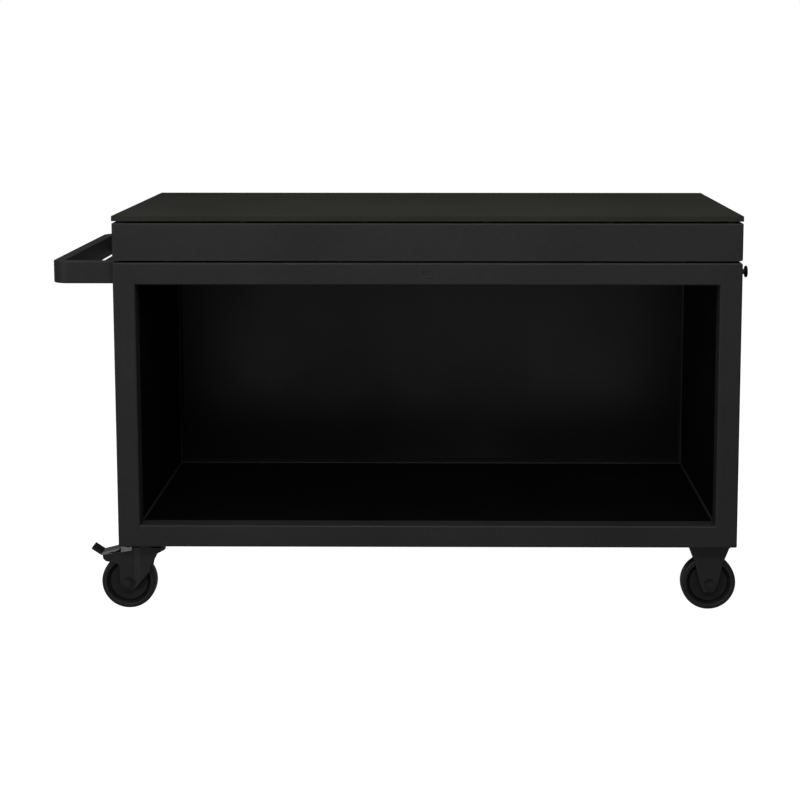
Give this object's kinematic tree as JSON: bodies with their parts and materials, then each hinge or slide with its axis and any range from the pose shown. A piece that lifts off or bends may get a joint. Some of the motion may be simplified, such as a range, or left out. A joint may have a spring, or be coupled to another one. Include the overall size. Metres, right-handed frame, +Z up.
{
  "type": "rolling worktop cabinet",
  "caption": "Rolling workshop cabinet with an open-fronted bay, thin stone worktop, side push handle, swivel casters with brakes and fixed casters.",
  "frame": {"origin": "on the floor under the middle of the whole object, handle and pegs included", "axes": "+X to the right along the width, towards the pegs; +Y from the open front to the back; +Z up"},
  "size_m": [1.56, 0.7008, 0.907],
  "materials": {
    "frame_paint": "matte",
    "slab_stone": "matte",
    "caster_steel": "satin",
    "black_tyre": "matte",
    "wheel_core": "matte",
    "black_plastic": "matte",
    "black_rubber": "matte",
    "black_fasteners": "satin",
    "zinc_steel": "satin",
    "nameplate": "satin"
  },
  "bodies": {
    "cabinet": {"front_left_post": "frame_paint", "front_right_post": "frame_paint", "front_top_rail": "frame_paint", "front_bottom_rail": "frame_paint", "rear_left_post": "frame_paint", "rear_right_post": "frame_paint", "rear_top_rail": "frame_paint", "rear_bottom_rail": "frame_paint", "left_top_rail": "frame_paint", "left_bottom_rail": "frame_paint", "right_top_rail": "frame_paint", "right_bottom_rail": "frame_paint", "caster_corner_plates": "frame_paint", "bay_floor": "frame_paint", "bay_ceiling": "frame_paint", "back_panel": "frame_paint", "left_side_panel": "frame_paint", "right_side_panel": "frame_paint", "carrier_front": "frame_paint", "carrier_rear": "frame_paint", "carrier_left": "frame_paint", "carrier_right": "frame_paint", "carrier_cross_bars": "frame_paint", "carrier_bolts": "zinc_steel", "worktop_slab": "slab_stone", "rubber_pads": "black_rubber", "handle_loop": "frame_paint", "handle_mount_bar": "frame_paint", "handle_bolts": "black_fasteners", "tool_pegs": "black_plastic", "blank_nameplate": "nameplate", "caster_bolts": "black_fasteners", "caster_rivet_nuts": "zinc_steel", "front_right_bracket": "caster_steel", "front_left_swivel_plate": "caster_steel", "rear_right_bracket": "caster_steel", "rear_left_swivel_plate": "caster_steel", "fixed_caster_axles": "black_fasteners", "kingpins": "zinc_steel", "swivel_balls": "zinc_steel"},
    "front_left_swivel": {"front_left_fork": "caster_steel", "front_left_axle": "black_fasteners", "front_left_lever_pin": "black_fasteners", "front_left_brake_spring": "zinc_steel"},
    "front_left_pedal": {"front_left_brake_lever": "zinc_steel", "front_left_pedal_pad": "black_plastic"},
    "front_left_wheel": {"front_left_tyre": "black_tyre", "front_left_wheel_core": "wheel_core"},
    "front_right_wheel": {"front_right_tyre": "black_tyre", "front_right_wheel_core": "wheel_core"},
    "rear_left_swivel": {"rear_left_fork": "caster_steel", "rear_left_axle": "black_fasteners", "rear_left_lever_pin": "black_fasteners", "rear_left_brake_spring": "zinc_steel"},
    "rear_left_pedal": {"rear_left_brake_lever": "zinc_steel", "rear_left_pedal_pad": "black_plastic"},
    "rear_left_wheel": {"rear_left_tyre": "black_tyre", "rear_left_wheel_core": "wheel_core"},
    "rear_right_wheel": {"rear_right_tyre": "black_tyre", "rear_right_wheel_core": "wheel_core"}
  },
  "joints": [
    {"name": "front_left_swivel_turn", "type": "hinge", "parent": "cabinet", "child": "front_left_swivel", "pos_m": [-0.5805, -0.2946, 0.145], "axis": [0, 0, 1], "continuous": true},
    {"name": "front_left_wheel_roll", "type": "hinge", "parent": "front_left_swivel", "child": "front_left_wheel", "pos_m": [-0.623, -0.2946, 0.0625], "axis": [0, 1, 0], "continuous": true},
    {"name": "front_left_brake_press", "type": "hinge", "parent": "front_left_swivel", "child": "front_left_pedal", "pos_m": [-0.6635, -0.2946, 0.123], "axis": [0, -1, 0], "range_deg": [0, 18]},
    {"name": "front_right_wheel_roll", "type": "hinge", "parent": "cabinet", "child": "front_right_wheel", "pos_m": [0.7045, -0.2946, 0.0625], "axis": [0, 1, 0], "continuous": true},
    {"name": "rear_left_swivel_turn", "type": "hinge", "parent": "cabinet", "child": "rear_left_swivel", "pos_m": [-0.5805, 0.2954, 0.145], "axis": [0, 0, 1], "continuous": true},
    {"name": "rear_left_wheel_roll", "type": "hinge", "parent": "rear_left_swivel", "child": "rear_left_wheel", "pos_m": [-0.623, 0.2954, 0.0625], "axis": [0, 1, 0], "continuous": true},
    {"name": "rear_left_brake_press", "type": "hinge", "parent": "rear_left_swivel", "child": "rear_left_pedal", "pos_m": [-0.6635, 0.2954, 0.123], "axis": [0, -1, 0], "range_deg": [0, 18]},
    {"name": "rear_right_wheel_roll", "type": "hinge", "parent": "cabinet", "child": "rear_right_wheel", "pos_m": [0.7045, 0.2954, 0.0625], "axis": [0, 1, 0], "continuous": true}
  ]
}
